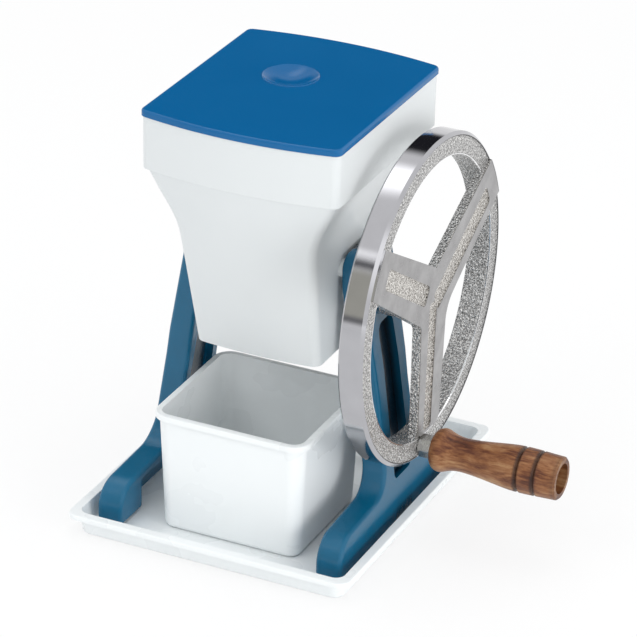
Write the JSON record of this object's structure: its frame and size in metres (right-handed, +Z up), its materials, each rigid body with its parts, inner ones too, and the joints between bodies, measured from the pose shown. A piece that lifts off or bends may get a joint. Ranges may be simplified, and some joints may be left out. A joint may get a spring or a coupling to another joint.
{
  "type": "ice shaver with crank",
  "caption": "Hand cranked ice shaver: a lidded white hopper between two blue cast frames in a drip tray, with an ice bin below and a spoked crank wheel with a turned wooden grip.",
  "frame": {"origin": "middle of the drip tray's underside", "axes": "+X right, towards the crank wheel; +Y back; +Z up"},
  "size_m": [0.3965, 0.316, 0.3851],
  "materials": {
    "white_plastic": "moulded gloss white",
    "blue_plastic": "moulded gloss blue",
    "blue_paint": "gloss enamel on cast iron",
    "foot_rubber": "matt",
    "bright_steel": "bright",
    "dark_steel": "black oxide",
    "blade_steel": "ground stainless",
    "cast_aluminium": "cast",
    "bush_bronze": "sintered bronze",
    "plated_iron": "plated casting, polished outer band, grainy rim face",
    "turned_wood": "oiled and worn"
  },
  "bodies": {
    "tray": {"drip_tray": "white_plastic"},
    "bin": {"ice_bin": "white_plastic"},
    "stand": {"frame_left": "blue_paint", "frame_right": "blue_paint", "rubber_feet": "foot_rubber", "tie_bar": "bright_steel", "tie_bar_nuts": "bright_steel", "hopper": "white_plastic", "hopper_screws": "bright_steel", "shaving_trough": "cast_aluminium", "blade": "blade_steel", "blade_clamp": "bright_steel", "blade_screws": "bright_steel", "bearing_bush_left": "bush_bronze", "bearing_bush_right": "bush_bronze", "thrust_washers": "bright_steel"},
    "lid": {"hopper_lid": "blue_plastic"},
    "crank": {"axle": "bright_steel", "axle_key": "bright_steel", "rotor": "cast_aluminium", "rotor_pin": "bright_steel", "axle_collar": "bright_steel", "collar_set_screw": "dark_steel", "crank_wheel": "plated_iron", "wheel_set_screw": "dark_steel", "crank_bolt": "bright_steel", "grip_washer": "bright_steel", "grip_nut": "bright_steel"},
    "handle": {"grip": "turned_wood"}
  },
  "joints": [
    {"name": "stand_lift", "type": "slide", "parent": "tray", "child": "stand", "axis": [0, 0, 1], "range_m": [0, 0.1]},
    {"name": "bin_draw", "type": "slide", "parent": "tray", "child": "bin", "axis": [0, -0.8988, 0.4384], "range_m": [0, 0.19]},
    {"name": "lid_lift", "type": "slide", "parent": "stand", "child": "lid", "axis": [0, 0, 1], "range_m": [0, 0.12]},
    {"name": "wheel_spin", "type": "hinge", "parent": "stand", "child": "crank", "pos_m": [0, 0, 0.2175], "axis": [1, 0, 0], "continuous": true},
    {"name": "grip_spin", "type": "hinge", "parent": "crank", "child": "handle", "pos_m": [0.2, -0.01275, 0.08511], "axis": [1, 0, 0], "continuous": true}
  ]
}
